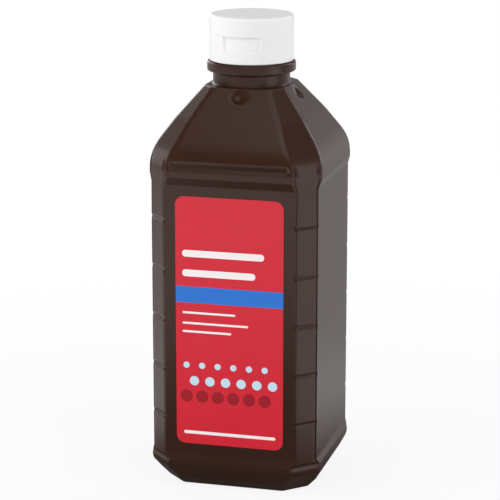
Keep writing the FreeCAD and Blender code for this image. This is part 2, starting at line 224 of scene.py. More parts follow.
slot_deepest = 122.85 * MM
slot_above = 2.5 * MM
slot_below = 1.25 * MM
slot_half = (slot_above + slot_below) / 2
slot_depth = 1.0 * MM
slot_softness = 1.2
slot_end_gap = 0.3 * MM
dimple_radius = 3.4 * MM
dimple_depth = 1.35 * MM
dimple_drop = 3.6 * MM
dimple_softness = 1.4
dimple_zone_low = 7.5 * MM
dimple_zone_high = 0.36 * MM
shoulder_run = ring_half - top_half
shoulder_rise = shoulder_top - shoulder_edge
shoulder_slope = math.hypot(shoulder_run, shoulder_rise)
edge_groove_depth = 0.5 * MM
edge_groove_levels = (10 * MM, 12.5 * MM, 118 * MM, 127 * MM)
shell_edge_levels = (0, 9 * MM, panel_low, 112 * MM, 121 * MM, 134 * MM, shoulder_top)
shell_edge_rounds = (1.8 * MM, 1.8 * MM, 0.5 * MM, 0.5 * MM, 2.0 * MM, 3.4 * MM, 3.0 * MM)
outer_face = face_profile(0)
outer_column = column_profile(0, [(base_ring_top, foot_groove_height)] + [
    (groove_low + groove_pitch * index, groove_height) for index in range(groove_count)])


def fade(share):
    """Smooth step from 0 to 1."""
    share = min(max(share, 0), 1)
    return share * share * (3 - 2 * share)


def slotted(point, normal, level):
    """Sinks a point of the front or back into the slot over the bead, a soft V with round ends."""
    along = abs(point.cross(normal))
    past_end = max(along - (slot_reach - slot_half), 0)
    rise = (level - slot_deepest) * slot_half / (slot_above if level > slot_deepest else slot_below)
    outside = math.hypot(past_end, rise) - slot_half
    return point - normal * (slot_depth * max(-outside / slot_half, 0) ** slot_softness)


def dimpled(spot, side):
    """Sinks a spot of a shoulder face into the round dimple under the neck."""
    if side is None or side % 2:
        return spot
    normal = side_normal(side)
    along = spot.xy.cross(normal)
    down = (shoulder_top - spot.z) * shoulder_slope / shoulder_rise
    share = math.hypot(along, down - dimple_drop) / dimple_radius
    if share >= 1:
        return spot
    across = shoulder_rise / shoulder_slope
    inward = Vector((-normal.x * across, -normal.y * across, -shoulder_run / shoulder_slope))
    return spot + inward * (dimple_depth * (1 - share * share) ** dimple_softness)


slot_reach = (width_at(outer_column, slot_deepest) * math.sqrt(2)
              - width_at(outer_face, slot_deepest) - slot_end_gap)


def shell_ring(level, face, column, edge):
    """One ring of the shell's outside, with its slots and dimples."""
    ring = []
    edge_groove = edge_groove_depth * np.interp(level, edge_groove_levels, (0, 1, 1, 0))
    for side, point in section(face, column, edge, edge_groove):
        point = slotted(point, side_normal(0 if point.y < 0 else 4), level)
        ring.append(dimpled(Vector((point.x, point.y, level)), side))
    return ring


def inside_ring(level, face, column, edge):
    """One ring of the shell's inside, where the dimples show too."""
    return [
        dimpled(Vector((point.x, point.y, level)), side)
        for side, point in section(face, column, edge)
    ]


def plain_ring(level, face, column, edge):
    """One ring with neither slots nor dimples."""
    return [Vector((point.x, point.y, level)) for side, point in section(face, column, edge)]


shell_top_section = section(top_half, column_top_half, shell_edge_rounds[-1])
spokes = [point.normalized() for side, point in shell_top_section]


def round_ring(radius, level):
    """One round ring with as many points as a section."""
    return [Vector((spoke.x * radius, spoke.y * radius, level)) for spoke in spokes]


def levels_of(*profiles):
    """The levels at which profiles bend, lowest first, without near doubles."""
    least_step = 0.04 * MM
    levels = []
    for level in sorted(spot.y for profile in profiles for spot in profile):
        if not levels or level - levels[-1] > least_step:
            levels.append(level)
    return levels


neck_radius = 14.36 * MM
neck_fillet = 0.5 * MM
neck_inside = 12.76 * MM
collar_low = 154.1 * MM
collar_top = 158.3 * MM
collar_radius = 16.5 * MM
collar_bevel = 0.8 * MM
collar_round = 0.5 * MM
finish_radius = 12.45 * MM
mouth_radius = 10.6 * MM
land_round = 0.5 * MM
thread_pitch = 4.233 * MM
thread_level = 160.3 * MM
thread_fade = 0.07
neck_thread_turns = 1.25
neck_thread_root = 2.3 * MM
neck_thread_crest = 1.1 * MM
neck_thread_depth = 1.2 * MM
SLOT_RINGS = 26
DIMPLE_RINGS = 30
INSIDE_DIMPLE_RINGS = 14
THREAD_RINGS = 42
INSIDE_SKIP = 4


def ridge(turn, level, turns, root, crest, depth):
    """How far a thread ridge stands out, at a turn about the axis from its start and a level."""
    height = 0
    for lap in range(math.ceil(turns)):
        run = turn + lap
        off = abs(level - thread_level - run * thread_pitch)
        flank = (root / 2 - off) / (root / 2 - crest / 2)
        height = max(height, depth * fade(flank) * fade(min(run, turns - run) / thread_fade))
    return height


def neck_spot(spot):
    """Raises a spot of the neck's finish on to the thread."""
    turn = (math.atan2(spot.y, spot.x) / math.tau) % 1
    height = ridge(turn, spot.z, neck_thread_turns, neck_thread_root, neck_thread_crest,
                   neck_thread_depth)
    return Vector((*(spot.xy * (1 + height / finish_radius)), spot.z))


def shell_rings():
    """Rings of the whole skin, from under the base, up the outside and down the inside."""
    standing_width = 4.5 * MM
    push_up_radius = foot_half - standing_width
    push_up_depth = 2.0 * MM
    push_up_flare = 2.0 * MM
    push_up_edge = 0.6 * MM
    push_up_round = 0.2 * MM
    lip_round = 0.7 * MM
    rings = [
        round_ring(0, push_up_depth),
        round_ring(push_up_radius - push_up_flare - push_up_edge, push_up_depth),
        round_ring(push_up_radius - push_up_flare, push_up_depth - push_up_round),
        round_ring(push_up_radius - push_up_round, push_up_round),
        round_ring(push_up_radius + push_up_round, 0),
    ]
    slot_levels = np.linspace(slot_deepest - slot_below, slot_deepest + slot_above, SLOT_RINGS)
    dimple_levels = np.linspace(
        shoulder_top - dimple_zone_low, shoulder_top - dimple_zone_high, DIMPLE_RINGS)
    extra = [[Vector((0, level)) for level in levels] for levels in (slot_levels, dimple_levels)]
    for level in levels_of(outer_face[:-1], outer_column[:-1], *extra):
        face = width_at(outer_face, level)
        column = width_at(outer_column, level)
        edge = np.interp(level, shell_edge_levels, shell_edge_rounds)
        rings.append(shell_ring(level, face, column, edge))
    top_edge = shell_edge_rounds[-1]
    axis_top = (0, shoulder_top)
    face_lip = rounded([outer_face[-2], (top_half, shoulder_top, lip_round), axis_top])
    column_lip = rounded([outer_column[-2], (column_top_half, shoulder_top, lip_round), axis_top])
    for face_spot, column_spot in zip(face_lip[1:-1], column_lip[1:-1]):
        rings.append(plain_ring(face_spot.y, face_spot.x, column_spot.x, top_edge))
    neck = rounded([
        (neck_radius + neck_fillet, shoulder_top),
        (neck_radius, shoulder_top, neck_fillet),
        (neck_radius, collar_low, neck_fillet / 2),
        (collar_radius, collar_low + collar_bevel, collar_round),
        (collar_radius, collar_top, collar_round),
        (finish_radius, collar_top, neck_fillet / 2),
        (finish_radius, collar_top + neck_fillet),
    ])
    rings += [round_ring(spot.x, spot.y) for spot in neck]
    for level in np.linspace(collar_top + neck_fillet, land - land_round, THREAD_RINGS)[1:-1]:
        rings.append([neck_spot(spot) for spot in round_ring(finish_radius, level)])
    mouth = rounded([
        (finish_radius, land - land_round * 2),
        (finish_radius, land, land_round),
        (mouth_radius, land, land_round),
        (mouth_radius, collar_top, land_round),
        (neck_inside, collar_low, land_round),
        (neck_inside, shoulder_top - wall),
    ])
    rings += [round_ring(spot.x, spot.y) for spot in mouth[1:]]
    inner_face = face_profile(wall)
    inner_column = column_profile(wall + groove_depth, [])
    inner_edge = 0.8 * MM
    inner_dimple_levels = np.linspace(dimple_levels[0], shoulder_top - wall, INSIDE_DIMPLE_RINGS)
    inner_levels = levels_of(
        *[profile[::INSIDE_SKIP] + profile[-1:] for profile in (inner_face, inner_column)],
        [Vector((0, level)) for level in inner_dimple_levels])
    for level in reversed(inner_levels):
        face = width_at(inner_face, level)
        column = width_at(inner_column, level)
        rings.append(inside_ring(level, face, column, inner_edge))
    rings += [
        round_ring(push_up_radius + wall, wall),
        round_ring(push_up_radius - push_up_flare + wall, push_up_depth + wall),
        round_ring(0, push_up_depth + wall),
    ]
    return rings


def woven(rings):
    """A closed skin: a grid with a row for each ring, moved on to the rings, welded at seam and poles."""
    skin = bmesh.new()
    across = len(rings[0])
    bmesh.ops.create_grid(skin, x_segments=across, y_segments=len(rings) - 1, size=1)
    for vert in skin.verts:
        column = round((vert.co.x + 1) / 2 * across)
        row = round((vert.co.y + 1) / 2 * (len(rings) - 1))
        vert.co = rings[row][column % across]
    bmesh.ops.remove_doubles(skin, verts=skin.verts, dist=WELD)
    bmesh.ops.dissolve_degenerate(skin, edges=skin.edges, dist=WELD / 2)
    bmesh.ops.recalc_face_normals(skin, faces=skin.faces)
    return skin


def finished(name, shape, material):
    """The piece that a bmesh gives: smooth, with flat faces kept flat by weighted normals."""
    mesh = bpy.data.meshes.new(name)
    shape.to_mesh(mesh)
    shape.free()
    mesh.shade_smooth()
    mesh.materials.append(material)
    piece = bpy.data.objects.new(name, mesh)
    bpy.context.scene.collection.objects.link(piece)
    normals = piece.modifiers.new("flat faces", "WEIGHTED_NORMAL")
    normals.keep_sharp = True
    return piece


def paint(red, green, blue):
    """A colour as it reads on screen, 0 to 255, as the linear colour that a shader takes."""
    parts = [part / 255 for part in (red, green, blue)]
    linear = [part / 12.92 if part <= 0.04045 else ((part + 0.055) / 1.055) ** 2.4 for part in parts]
    return (*linear, 1)


def add_node(tree, kind, inputs=None, **settings):
    """A node with its settings, and its inputs given as values or linked from sockets."""
    made = tree.nodes.new(kind)
    for name, value in settings.items():
        setattr(made, name, value)
    for socket, value in (inputs or {}).items():
        if isinstance(value, bpy.types.NodeSocket):
            tree.links.new(value, made.inputs[socket])
        else:
            made.inputs[socket].default_value = value
    return made


def mixed(tree, share, first, second):
    """The colour socket of a mix of two colours. A mix node's colour inputs are its last two."""
    mix = add_node(tree, "ShaderNodeMix", {0: share, 6: first, 7: second}, data_type="RGBA")
    return mix.outputs[2]


def start_material(name):
    """A new material, its node tree and its shader."""
    material = bpy.data.materials.new(name)
    material.use_nodes = True
    return material, material.node_tree, material.node_tree.nodes["Principled BSDF"]


def group_sockets(group, inputs, outputs):
    """Gives a node group its named inputs with defaults, and its outputs. Returns both end nodes."""
    for name, (kind, default) in inputs.items():
        socket = group.interface.new_socket(name, in_out="INPUT", socket_type=kind)
        if default is not None:
            socket.default_value = default
    for name in outputs:
        group.interface.new_socket(name, in_out="OUTPUT", socket_type="NodeSocketFloat")
    return group.nodes.new("NodeGroupInput"), group.nodes.new("NodeGroupOutput")


def moulded_skin_group():
    """Skin of moulded plastic: a slow drift in tone, and a fine grain over a faint orange peel."""
    grain_share = 0.12
    group = bpy.data.node_groups.new("moulded_skin", "ShaderNodeTree")
    given, put = group_sockets(group, {
        "Place": ("NodeSocketVector", None),
        "Drift Scale": ("NodeSocketFloat", 40.0),
        "Peel Scale": ("NodeSocketFloat", 500.0),
        "Grain Scale": ("NodeSocketFloat", 1500.0),
    }, ["Tone", "Height"])
    drift = add_node(group, "ShaderNodeTexNoise", {
        "Vector": given.outputs["Place"], "Scale": given.outputs["Drift Scale"], "Detail": 3.0})
    peel = add_node(group, "ShaderNodeTexNoise", {
        "Vector": given.outputs["Place"], "Scale": given.outputs["Peel Scale"], "Detail": 1.0})
    grain = add_node(group, "ShaderNodeTexNoise", {
        "Vector": given.outputs["Place"], "Scale": given.outputs["Grain Scale"], "Detail": 2.0})
    height = add_node(group, "ShaderNodeMath", {
        0: grain.outputs["Fac"], 1: grain_share, 2: peel.outputs["Fac"]}, operation="MULTIPLY_ADD")
    group.links.new(drift.outputs["Fac"], put.inputs["Tone"])
    group.links.new(height.outputs["Value"], put.inputs["Height"])
    return group


moulded_skin = moulded_skin_group()


def moulded_plastic(name, deep, pale, smooth, dull, skin_depth):
    """Moulded plastic whose colour and gloss drift a little, with a fine skin."""
    material, tree, shader = start_material(name)
    place = add_node(tree, "ShaderNodeTexCoord").outputs["Object"]
    skin = add_node(tree, "ShaderNodeGroup", {}, node_tree=moulded_skin)
    tree.links.new(place, skin.inputs["Place"])
    colour = mixed(tree, skin.outputs["Tone"], deep, pale)
    gloss = add_node(tree, "ShaderNodeMapRange", {
        "Value": skin.outputs["Tone"], "To Min": smooth, "To Max": dull})
    bump = add_node(tree, "ShaderNodeBump", {
        "Height": skin.outputs["Height"], "Strength": 1.0, "Distance": skin_depth})
    tree.links.new(colour, shader.inputs["Base Color"])
    tree.links.new(gloss.outputs["Result"], shader.inputs["Roughness"])
    tree.links.new(bump.outputs["Normal"], shader.inputs["Normal"])
    return material, shader


moulded_depth = 0.003 * MM
brown_plastic, brown_shader = moulded_plastic(
    "brown_hdpe", deep=paint(49, 25, 13), pale=paint(55, 29, 16), smooth=0.28, dull=0.32,
    skin_depth=moulded_depth)
brown_shader.inputs["Specular IOR Level"].default_value = 0.54
shell = finished("bottle_skin", woven(shell_rings()), brown_plastic)
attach(shell, "bottle")
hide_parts("bottle_shell")

# Labels
# Two printed film labels, 0.12 mm thick with rounded corners, stuck on the recessed front and back
# panels. The print is a plain generic design: a red ground painted lighter towards the top as a painted
# sheen, a blue band, rules and rows of discs.
label_low, label_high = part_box("front_label")


def print_bar_group():
    """Mask of a bar with rounded corners on a label's plane, in millimetres across and up."""
    group = bpy.data.node_groups.new("print_bar", "ShaderNodeTree")
    given, put = group_sockets(group, {
        "Place": ("NodeSocketVector", None),
        "Middle": ("NodeSocketVector", None),
        "Half Size": ("NodeSocketVector", None),
        "Corner": ("NodeSocketFloat", 0.3),
        "Edge": ("NodeSocketFloat", 0.08),
    }, ["Mask"])
    off = add_node(group, "ShaderNodeVectorMath", {
        0: given.outputs["Place"], 1: given.outputs["Middle"]}, operation="SUBTRACT")
    span = add_node(group, "ShaderNodeVectorMath", {0: off.outputs[0]}, operation="ABSOLUTE")
    core = add_node(group, "ShaderNodeVectorMath", {
        0: given.outputs["Half Size"], 1: given.outputs["Corner"]}, operation="SUBTRACT")
    past = add_node(group, "ShaderNodeVectorMath", {
        0: span.outputs[0], 1: core.outputs[0]}, operation="SUBTRACT")
    outside = add_node(group, "ShaderNodeVectorMath", {0: past.outputs[0]}, operation="MAXIMUM")
    flat = add_node(group, "ShaderNodeVectorMath", {
        0: outside.outputs[0], 1: (1, 0, 1)}, operation="MULTIPLY")
    reach = add_node(group, "ShaderNodeVectorMath", {0: flat.outputs[0]}, operation="LENGTH")
    depth = add_node(group, "ShaderNodeMath", {
        0: given.outputs["Corner"], 1: reach.outputs["Value"]}, operation="SUBTRACT")
    share = add_node(group, "ShaderNodeMath", {
        0: depth.outputs[0], 1: given.outputs["Edge"]}, operation="DIVIDE")
    mask = add_node(group, "ShaderNodeMapRange", {
        "Value": share.outputs[0], "From Min": -0.5, "From Max": 0.5}, interpolation_type="SMOOTHSTEP")
    group.links.new(mask.outputs["Result"], put.inputs["Mask"])
    return group


print_bar = print_bar_group()


def bar_mask(tree, place, left, right, low, high, corner):
    """The mask socket of a bar between two sides and two levels, in millimetres."""
    bar = add_node(tree, "ShaderNodeGroup", {}, node_tree=print_bar)
    tree.links.new(place, bar.inputs["Place"])
    bar.inputs["Middle"].default_value = ((left + right) / 2, 0, (low + high) / 2)
    bar.inputs["Half Size"].default_value = ((right - left) / 2, 0, (high - low) / 2)
    bar.inputs["Corner"].default_value = corner
    return bar.outputs["Mask"]


def joined(tree, masks):
    """The mask socket of all of these masks together."""
    total = masks[0]
    for mask in masks[1:]:
        total = add_node(tree, "ShaderNodeMath", {0: total, 1: mask}, operation="MAXIMUM").outputs[0]
    return total


def disc_rows(tree, place, pitch, low, rows, big, small):
    """Two sockets: the mask of staggered rows of discs that shrink upwards, and how far up they lie.
    A cell of the pattern is 1 wide and high, with its disc in the middle."""
    discs_each_side = 3.0
    disc_edge = 0.006
    past_label = 30
    sharp = 0.1
    parts = add_node(tree, "ShaderNodeSeparateXYZ", {0: place})
    up = add_node(tree, "ShaderNodeMath", {0: parts.outputs["Z"], 1: low}, operation="SUBTRACT")
    row = add_node(tree, "ShaderNodeMath", {0: up.outputs[0], 1: pitch}, operation="DIVIDE")
    row_number = add_node(tree, "ShaderNodeMath", {0: row.outputs[0]}, operation="FLOOR")
    stagger = add_node(tree, "ShaderNodeMath", {
        0: row_number.outputs[0], 1: 0.5, 2: 0.25}, operation="MULTIPLY_ADD")
    across = add_node(tree, "ShaderNodeMath", {
        0: parts.outputs["X"], 1: 1 / pitch, 2: stagger.outputs[0]}, operation="MULTIPLY_ADD")
    cell_x = add_node(tree, "ShaderNodeMath", {0: across.outputs[0]}, operation="FRACT")
    cell_z = add_node(tree, "ShaderNodeMath", {0: row.outputs[0]}, operation="FRACT")
    cell = add_node(tree, "ShaderNodeCombineXYZ", {"X": cell_x.outputs[0], "Z": cell_z.outputs[0]})
    reach = add_node(tree, "ShaderNodeVectorMath", {
        0: cell.outputs[0], 1: (0.5, 0, 0.5)}, operation="DISTANCE")
    column = add_node(tree, "ShaderNodeMath", {0: across.outputs[0]}, operation="FLOOR")
    middle = add_node(tree, "ShaderNodeMath", {
        0: column.outputs[0], 1: stagger.outputs[0]}, operation="SUBTRACT")
    share = add_node(tree, "ShaderNodeMapRange", {
        "Value": row_number.outputs[0], "From Min": 0, "From Max": rows - 1})
    off_middle = add_node(tree, "ShaderNodeMath", {0: middle.outputs[0], 1: 0.5}, operation="ADD")
    span = add_node(tree, "ShaderNodeMath", {0: off_middle.outputs[0]}, operation="ABSOLUTE")
    whole = add_node(tree, "ShaderNodeMath", {
        0: span.outputs[0], 1: discs_each_side}, operation="LESS_THAN")
    radius = add_node(tree, "ShaderNodeMapRange", {
        "Value": share.outputs["Result"], "To Min": big / pitch, "To Max": small / pitch})
    depth = add_node(tree, "ShaderNodeMath", {
        0: radius.outputs["Result"], 1: reach.outputs["Value"]}, operation="SUBTRACT")
    disc = add_node(tree, "ShaderNodeMapRange", {
        "Value": depth.outputs[0], "From Min": -disc_edge, "From Max": disc_edge},
        interpolation_type="SMOOTHSTEP")
    inside = bar_mask(tree, place, -past_label, past_label, low, low + pitch * rows, sharp)
    mask = add_node(tree, "ShaderNodeMath", {0: disc.outputs["Result"], 1: inside}, operation="MULTIPLY")
    kept = add_node(tree, "ShaderNodeMath", {
        0: mask.outputs[0], 1: whole.outputs[0]}, operation="MULTIPLY")
    return kept.outputs[0], share.outputs["Result"]


# The red ground goes from a plain red at the foot of the label to a lighter red at the top: the lighter
# top is a painted sheen.
label_red_low = paint(212, 32, 50)
label_red_painted_sheen = paint(211, 46, 60)
film_smooth = 0.3
film_dull = 0.4
film_depth = 0.002 * MM


def printed_film(name, side):
    """A satin film label's material, its print ground with a painted sheen towards the top, and the place
    on the label in millimetres.
    """
    material, tree, shader = start_material(name)
    spot = add_node(tree, "ShaderNodeTexCoord").outputs["Object"]
    place = add_node(tree, "ShaderNodeVectorMath", {
        0: spot, 1: (side / MM, 0, 1 / MM)}, operation="MULTIPLY").outputs[0]
    skin = add_node(tree, "ShaderNodeGroup", {}, node_tree=moulded_skin)
    tree.links.new(spot, skin.inputs["Place"])
    level = add_node(tree, "ShaderNodeSeparateXYZ", {0: place}).outputs["Z"]
    # Painted sheen: the red ground lightens towards the top of the label.
    rise = add_node(tree, "ShaderNodeMapRange", {
        "Value": level, "From Min": label_low.z / MM, "From Max": label_high.z / MM})
    ground = mixed(tree, rise.outputs["Result"], label_red_low, label_red_painted_sheen)
    gloss = add_node(tree, "ShaderNodeMapRange", {
        "Value": skin.outputs["Tone"], "To Min": film_smooth, "To Max": film_dull})
    bump = add_node(tree, "ShaderNodeBump", {
        "Height": skin.outputs["Height"], "Strength": 1.0, "Distance": film_depth})
    tree.links.new(gloss.outputs["Result"], shader.inputs["Roughness"])
    tree.links.new(bump.outputs["Normal"], shader.inputs["Normal"])
    shader.inputs["Specular IOR Level"].default_value = 0.35
    return material, tree, shader, place, ground


ink_white = paint(246, 240, 240)
ink_blue = paint(44, 116, 210)
ink_pale_blue = paint(196, 226, 240)
ink_dark_red = paint(160, 24, 38)
ink_grey = paint(120, 112, 112)

# Each printed bar: left, right, low, high and corner round, in millimetres from the middle and the floor.
band_side = label_high.x / MM + 1
front_band = (-band_side, band_side, 72.2, 78.4, 0.3)
front_rules = (
    (-17.9, 13.2, 89.6, 92.2, 1.2),
    (-17.9, 9.9, 82.2, 84.8, 1.2),
    (-17.9, 2.3, 68.0, 68.8, 0.35),
    (-17.9, 7.2, 64.0, 64.8, 0.35),
    (-17.9, 0.7, 60.8, 61.6, 0.35),
    (-17.6, 17.6, 21.4, 22.6, 0.55),
)
back_panel = (-17.6, 17.6, 24.0, 98.0, 2.0)
back_band = (-17.6, 17.6, 102.0, 106.4, 1.6)
back_rule_left = -15.0
back_rule_high = 93.0
back_rule_height = 1.0
back_rule_pitch = 5.0
back_rule_round = 0.4
back_rule_lengths = (30, 30, 26, 30, 30, 18, 30, 28, 30, 22, 30, 30, 16)


def front_print():
    """Print of the front label: a blue band between white rules, and dark red and pale blue discs."""
    material, tree, shader, place, ground = printed_film("front_print", 1)
    discs, height = disc_rows(tree, place, pitch=6.0, low=33.2, rows=3, big=2.4, small=1.2)
    pale_from = 0.25
    pale = add_node(tree, "ShaderNodeMath", {0: height, 1: pale_from}, operation="GREATER_THAN")
    disc_ink = mixed(tree, pale.outputs[0], ink_dark_red, ink_pale_blue)
    colour = mixed(tree, discs, ground, disc_ink)
    band = bar_mask(tree, place, *front_band)
    colour = mixed(tree, band, colour, ink_blue)
    rules = [bar_mask(tree, place, *rule) for rule in front_rules]
    colour = mixed(tree, joined(tree, rules), colour, ink_white)
    tree.links.new(colour, shader.inputs["Base Color"])
    return material


def back_print():
    """Print of the back label: a blue band over a white panel of grey rules."""
    material, tree, shader, place, ground = printed_film("back_print", -1)
    panel = bar_mask(tree, place, *back_panel)
    colour = mixed(tree, panel, ground, ink_white)
    band = bar_mask(tree, place, *back_band)
    colour = mixed(tree, band, colour, ink_blue)
    rules = []
    for row, length in enumerate(back_rule_lengths):
        high = back_rule_high - back_rule_pitch * row
        rules.append(bar_mask(tree, place, back_rule_left, back_rule_left + length,
                              high - back_rule_height, high, back_rule_round))
    colour = mixed(tree, joined(tree, rules), colour, ink_grey)
    tree.links.new(colour, shader.inputs["Base Color"])
    return material


for name, make_print in (("front_label", front_print), ("back_label", back_print)):
    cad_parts[name].data.materials.clear()
    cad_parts[name].data.materials.append(make_print())

# Mouth seal
# A foil-faced pulp disc that is pressed on to the mouth under the cap. It rises with the cap here.
seal_low, seal_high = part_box("mouth_seal")
ROUND_SEGMENTS = 4
SEAL_STEPS = 96


def turned(corners, steps):
    """A turned shape: a closed profile of corners (radius, level, rounding), rounded and spun once."""
    shape = bmesh.new()
    verts = [shape.verts.new((radius, 0, level)) for radius, level, rounding in corners]
    for first, second in zip(verts, verts[1:] + verts[:1]):
        if first.co.x > 0 or second.co.x > 0:
            shape.edges.new((first, second))
    for vert, (radius, level, rounding) in zip(verts, corners):
        if rounding:
            bmesh.ops.bevel(shape, geom=[vert], offset=rounding, offset_type="OFFSET",
                            segments=ROUND_SEGMENTS, profile=0.5, affect="VERTICES", material=-1)
    longest = 0.3 * MM
    for edge in shape.edges[:]:
        cuts = math.ceil(edge.calc_length() / longest) - 1
        upright = abs(edge.verts[0].co.z - edge.verts[1].co.z) > longest
        if cuts > 0 and upright:
            bmesh.ops.subdivide_edges(shape, edges=[edge], cuts=cuts)
    bmesh.ops.spin(shape, geom=shape.verts[:] + shape.edges[:], cent=(0, 0, 0), axis=(0, 0, 1),
                   angle=math.tau, steps=steps, use_merge=True)
    bmesh.ops.remove_doubles(shape, verts=shape.verts, dist=WELD)
    bmesh.ops.recalc_face_normals(shape, faces=shape.faces)
    return shape


def foil():
    """Crinkled aluminium foil."""
    material, tree, shader = start_material("seal_foil")
    place = add_node(tree, "ShaderNodeTexCoord").outputs["Object"]
    creases = add_node(tree, "ShaderNodeTexVoronoi", {
        "Vector": place, "Scale": 420.0}, feature="DISTANCE_TO_EDGE")
    cloud = add_node(tree, "ShaderNodeTexNoise", {"Vector": place, "Scale": 260.0, "Detail": 4.0})
    colour = mixed(tree, cloud.outputs["Fac"], paint(205, 206, 210), paint(228, 229, 232))
    gloss = add_node(tree, "ShaderNodeMapRange", {
        "Value": cloud.outputs["Fac"], "To Min": 0.28, "To Max": 0.42})
    bump = add_node(tree, "ShaderNodeBump", {
        "Height": creases.outputs["Distance"], "Strength": 0.5, "Distance": 0.05 * MM})
    tree.links.new(colour, shader.inputs["Base Color"])
    tree.links.new(gloss.outputs["Result"], shader.inputs["Roughness"])
    tree.links.new(bump.outputs["Normal"], shader.inputs["Normal"])
    shader.inputs["Metallic"].default_value = 1.0
    return material


seal_radius = seal_high.x
seal_edge = 0.12 * MM
seal_step = 0.08 * MM
seal_rim = 1.9 * MM
seal = finished("seal_disc", turned([
    (0, seal_low.z, 0),
    (seal_radius, seal_low.z, seal_edge),
    (seal_radius, seal_high.z, seal_edge),
    (seal_radius - seal_rim, seal_high.z, 0),
    (seal_radius - seal_rim - seal_step, seal_high.z - seal_step, 0),
    (0, seal_high.z - seal_step, 0),
], SEAL_STEPS), foil())
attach(seal, "seal")
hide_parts("mouth_seal")

# Cap base
# The white polypropylene screw base: a smooth skirt with a thread inside and a shallow thumb recess in
# front, and a deck with a dispensing nozzle. It is injection-moulded in one piece with the hinge and lid.
base_low, base_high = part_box("cap_base")
lid_low, lid_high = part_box("cap_lid")
hinge_low, hinge_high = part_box("living_hinge")
cap_radius = base_high.x
parting_gap = 0.02 * MM
parting_round = 0.02 * MM
ledge = lid_low.z - parting_gap
deck_low = seal_high.z
deck_thickness = 1.5 * MM
deck_top = deck_low + deck_thickness
skirt_inside = 14.15 * MM
lid_wall = 1.4 * MM
lid_inside = cap_radius - lid_wall
rim_gap = 0.35 * MM
rim_radius = lid_inside - rim_gap
orifice_radius = 1.75 * MM
nozzle_wall = 1.3 * MM
nozzle_radius = orifice_radius + nozzle_wall
fine_round = 0.15 * MM
soft_round = 0.35 * MM
thumb_half = 7.35 * MM
thumb_height = 6.0 * MM
thumb_depth = 0.7 * MM
thumb_round = 2.2 * MM
thumb_soft = 0.35 * MM
hinge_flat = hinge_low.y
hinge_flat_height = 2.8 * MM
cap_thread_turns = 1.0
cap_thread_root = 1.5 * MM
cap_thread_crest = 0.8 * MM
cap_thread_depth = 1.1 * MM
on_skirt = 0.01 * MM
CAP_STEPS = 288
white_plastic, white_shader = moulded_plastic(
    "white_pp", deep=paint(239, 239, 239), pale=paint(242, 242, 242), smooth=0.3, dull=0.38,
    skin_depth=moulded_depth)
white_shader.inputs["Specular IOR Level"].default_value = 0.4


def flatten_hinge_side(shape, low, high):
    """Cuts a turned shape back to the flat that the hinge lies on, between two levels."""
    for vert in shape.verts:
        if low < vert.co.z < high and vert.co.y > hinge_flat:
            vert.co.y = hinge_flat


def press_thumb_recess(shape):
    """Presses the recess into the front of the skirt, with its lower corners rounded."""
    for vert in shape.verts:
        radius = vert.co.xy.length
        if radius < cap_radius - thumb_depth or vert.co.y > 0:
            continue
        along = abs(math.atan2(vert.co.x, -vert.co.y)) * cap_radius
        past_side = max(along - (thumb_half - thumb_round), 0)
        past_low = max(ledge - thumb_height + thumb_round - vert.co.z, 0)
        outside = math.hypot(past_side, past_low) - thumb_round
        pressed = cap_radius - thumb_depth * fade(-outside / thumb_soft)
        if radius > pressed:
            vert.co.xy *= pressed / radius


def cut_base_thread(shape):
    """Raises the thread ridge inside the skirt."""
    for vert in shape.verts:
        radius = vert.co.xy.length
        if abs(radius - skirt_inside) < on_skirt:
            turn = (math.atan2(-vert.co.y, -vert.co.x) / math.tau) % 1
            height = ridge(turn, vert.co.z, cap_thread_turns, cap_thread_root, cap_thread_crest,
                           cap_thread_depth)
            vert.co.xy *= (radius - height) / radius


base_shape = turned([
    (skirt_inside, base_low.z, fine_round),
    (cap_radius, base_low.z, soft_round),
    (cap_radius, ledge, parting_round),
    (rim_radius, ledge, fine_round),
    (rim_radius, deck_top, fine_round),
    (nozzle_radius, deck_top, soft_round),
    (nozzle_radius, base_high.z, soft_round),
    (orifice_radius, base_high.z, fine_round),
    (orifice_radius, deck_low, fine_round),
    (skirt_inside, deck_low, fine_round),
], CAP_STEPS)
press_thumb_recess(base_shape)
cut_base_thread(base_shape)
flatten_hinge_side(base_shape, ledge - hinge_flat_height, lid_low.z)
base = finished("cap_screw_base", base_shape, white_plastic)
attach(base, "cap")
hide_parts("cap_base")

# Living hinge
# A thin strap of the same polypropylene across the back of the cap. It bends where it is thinnest, so
# that the lid flips up and back.
hinge_middle = (hinge_low + hinge_high) / 2
hinge_half = (hinge_high - hinge_low) / 2
hinge_fold = 0.8 * MM
hinge_thinning = 0.5
HINGE_CUTS = 31
hinge_shape = bmesh.new()
bmesh.ops.create_cube(hinge_shape, size=2)
upright_edges = [edge for edge in hinge_shape.edges if abs(edge.verts[0].co.z - edge.verts[1].co.z) > 1]
bmesh.ops.subdivide_edges(hinge_shape, edges=upright_edges, cuts=HINGE_CUTS, use_grid_fill=True)
bmesh.ops.scale(hinge_shape, vec=hinge_half, verts=hinge_shape.verts)
for vert in hinge_shape.verts:
    thin = 1 - hinge_thinning * fade(1 - abs(vert.co.z) / hinge_fold)
    if vert.co.y > 0:
        vert.co.y = hinge_half.y * (2 * thin - 1)
bmesh.ops.translate(hinge_shape, vec=hinge_middle, verts=hinge_shape.verts)
hinge = finished("hinge_strap", hinge_shape, white_plastic)
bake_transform(hinge)
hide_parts("living_hinge")

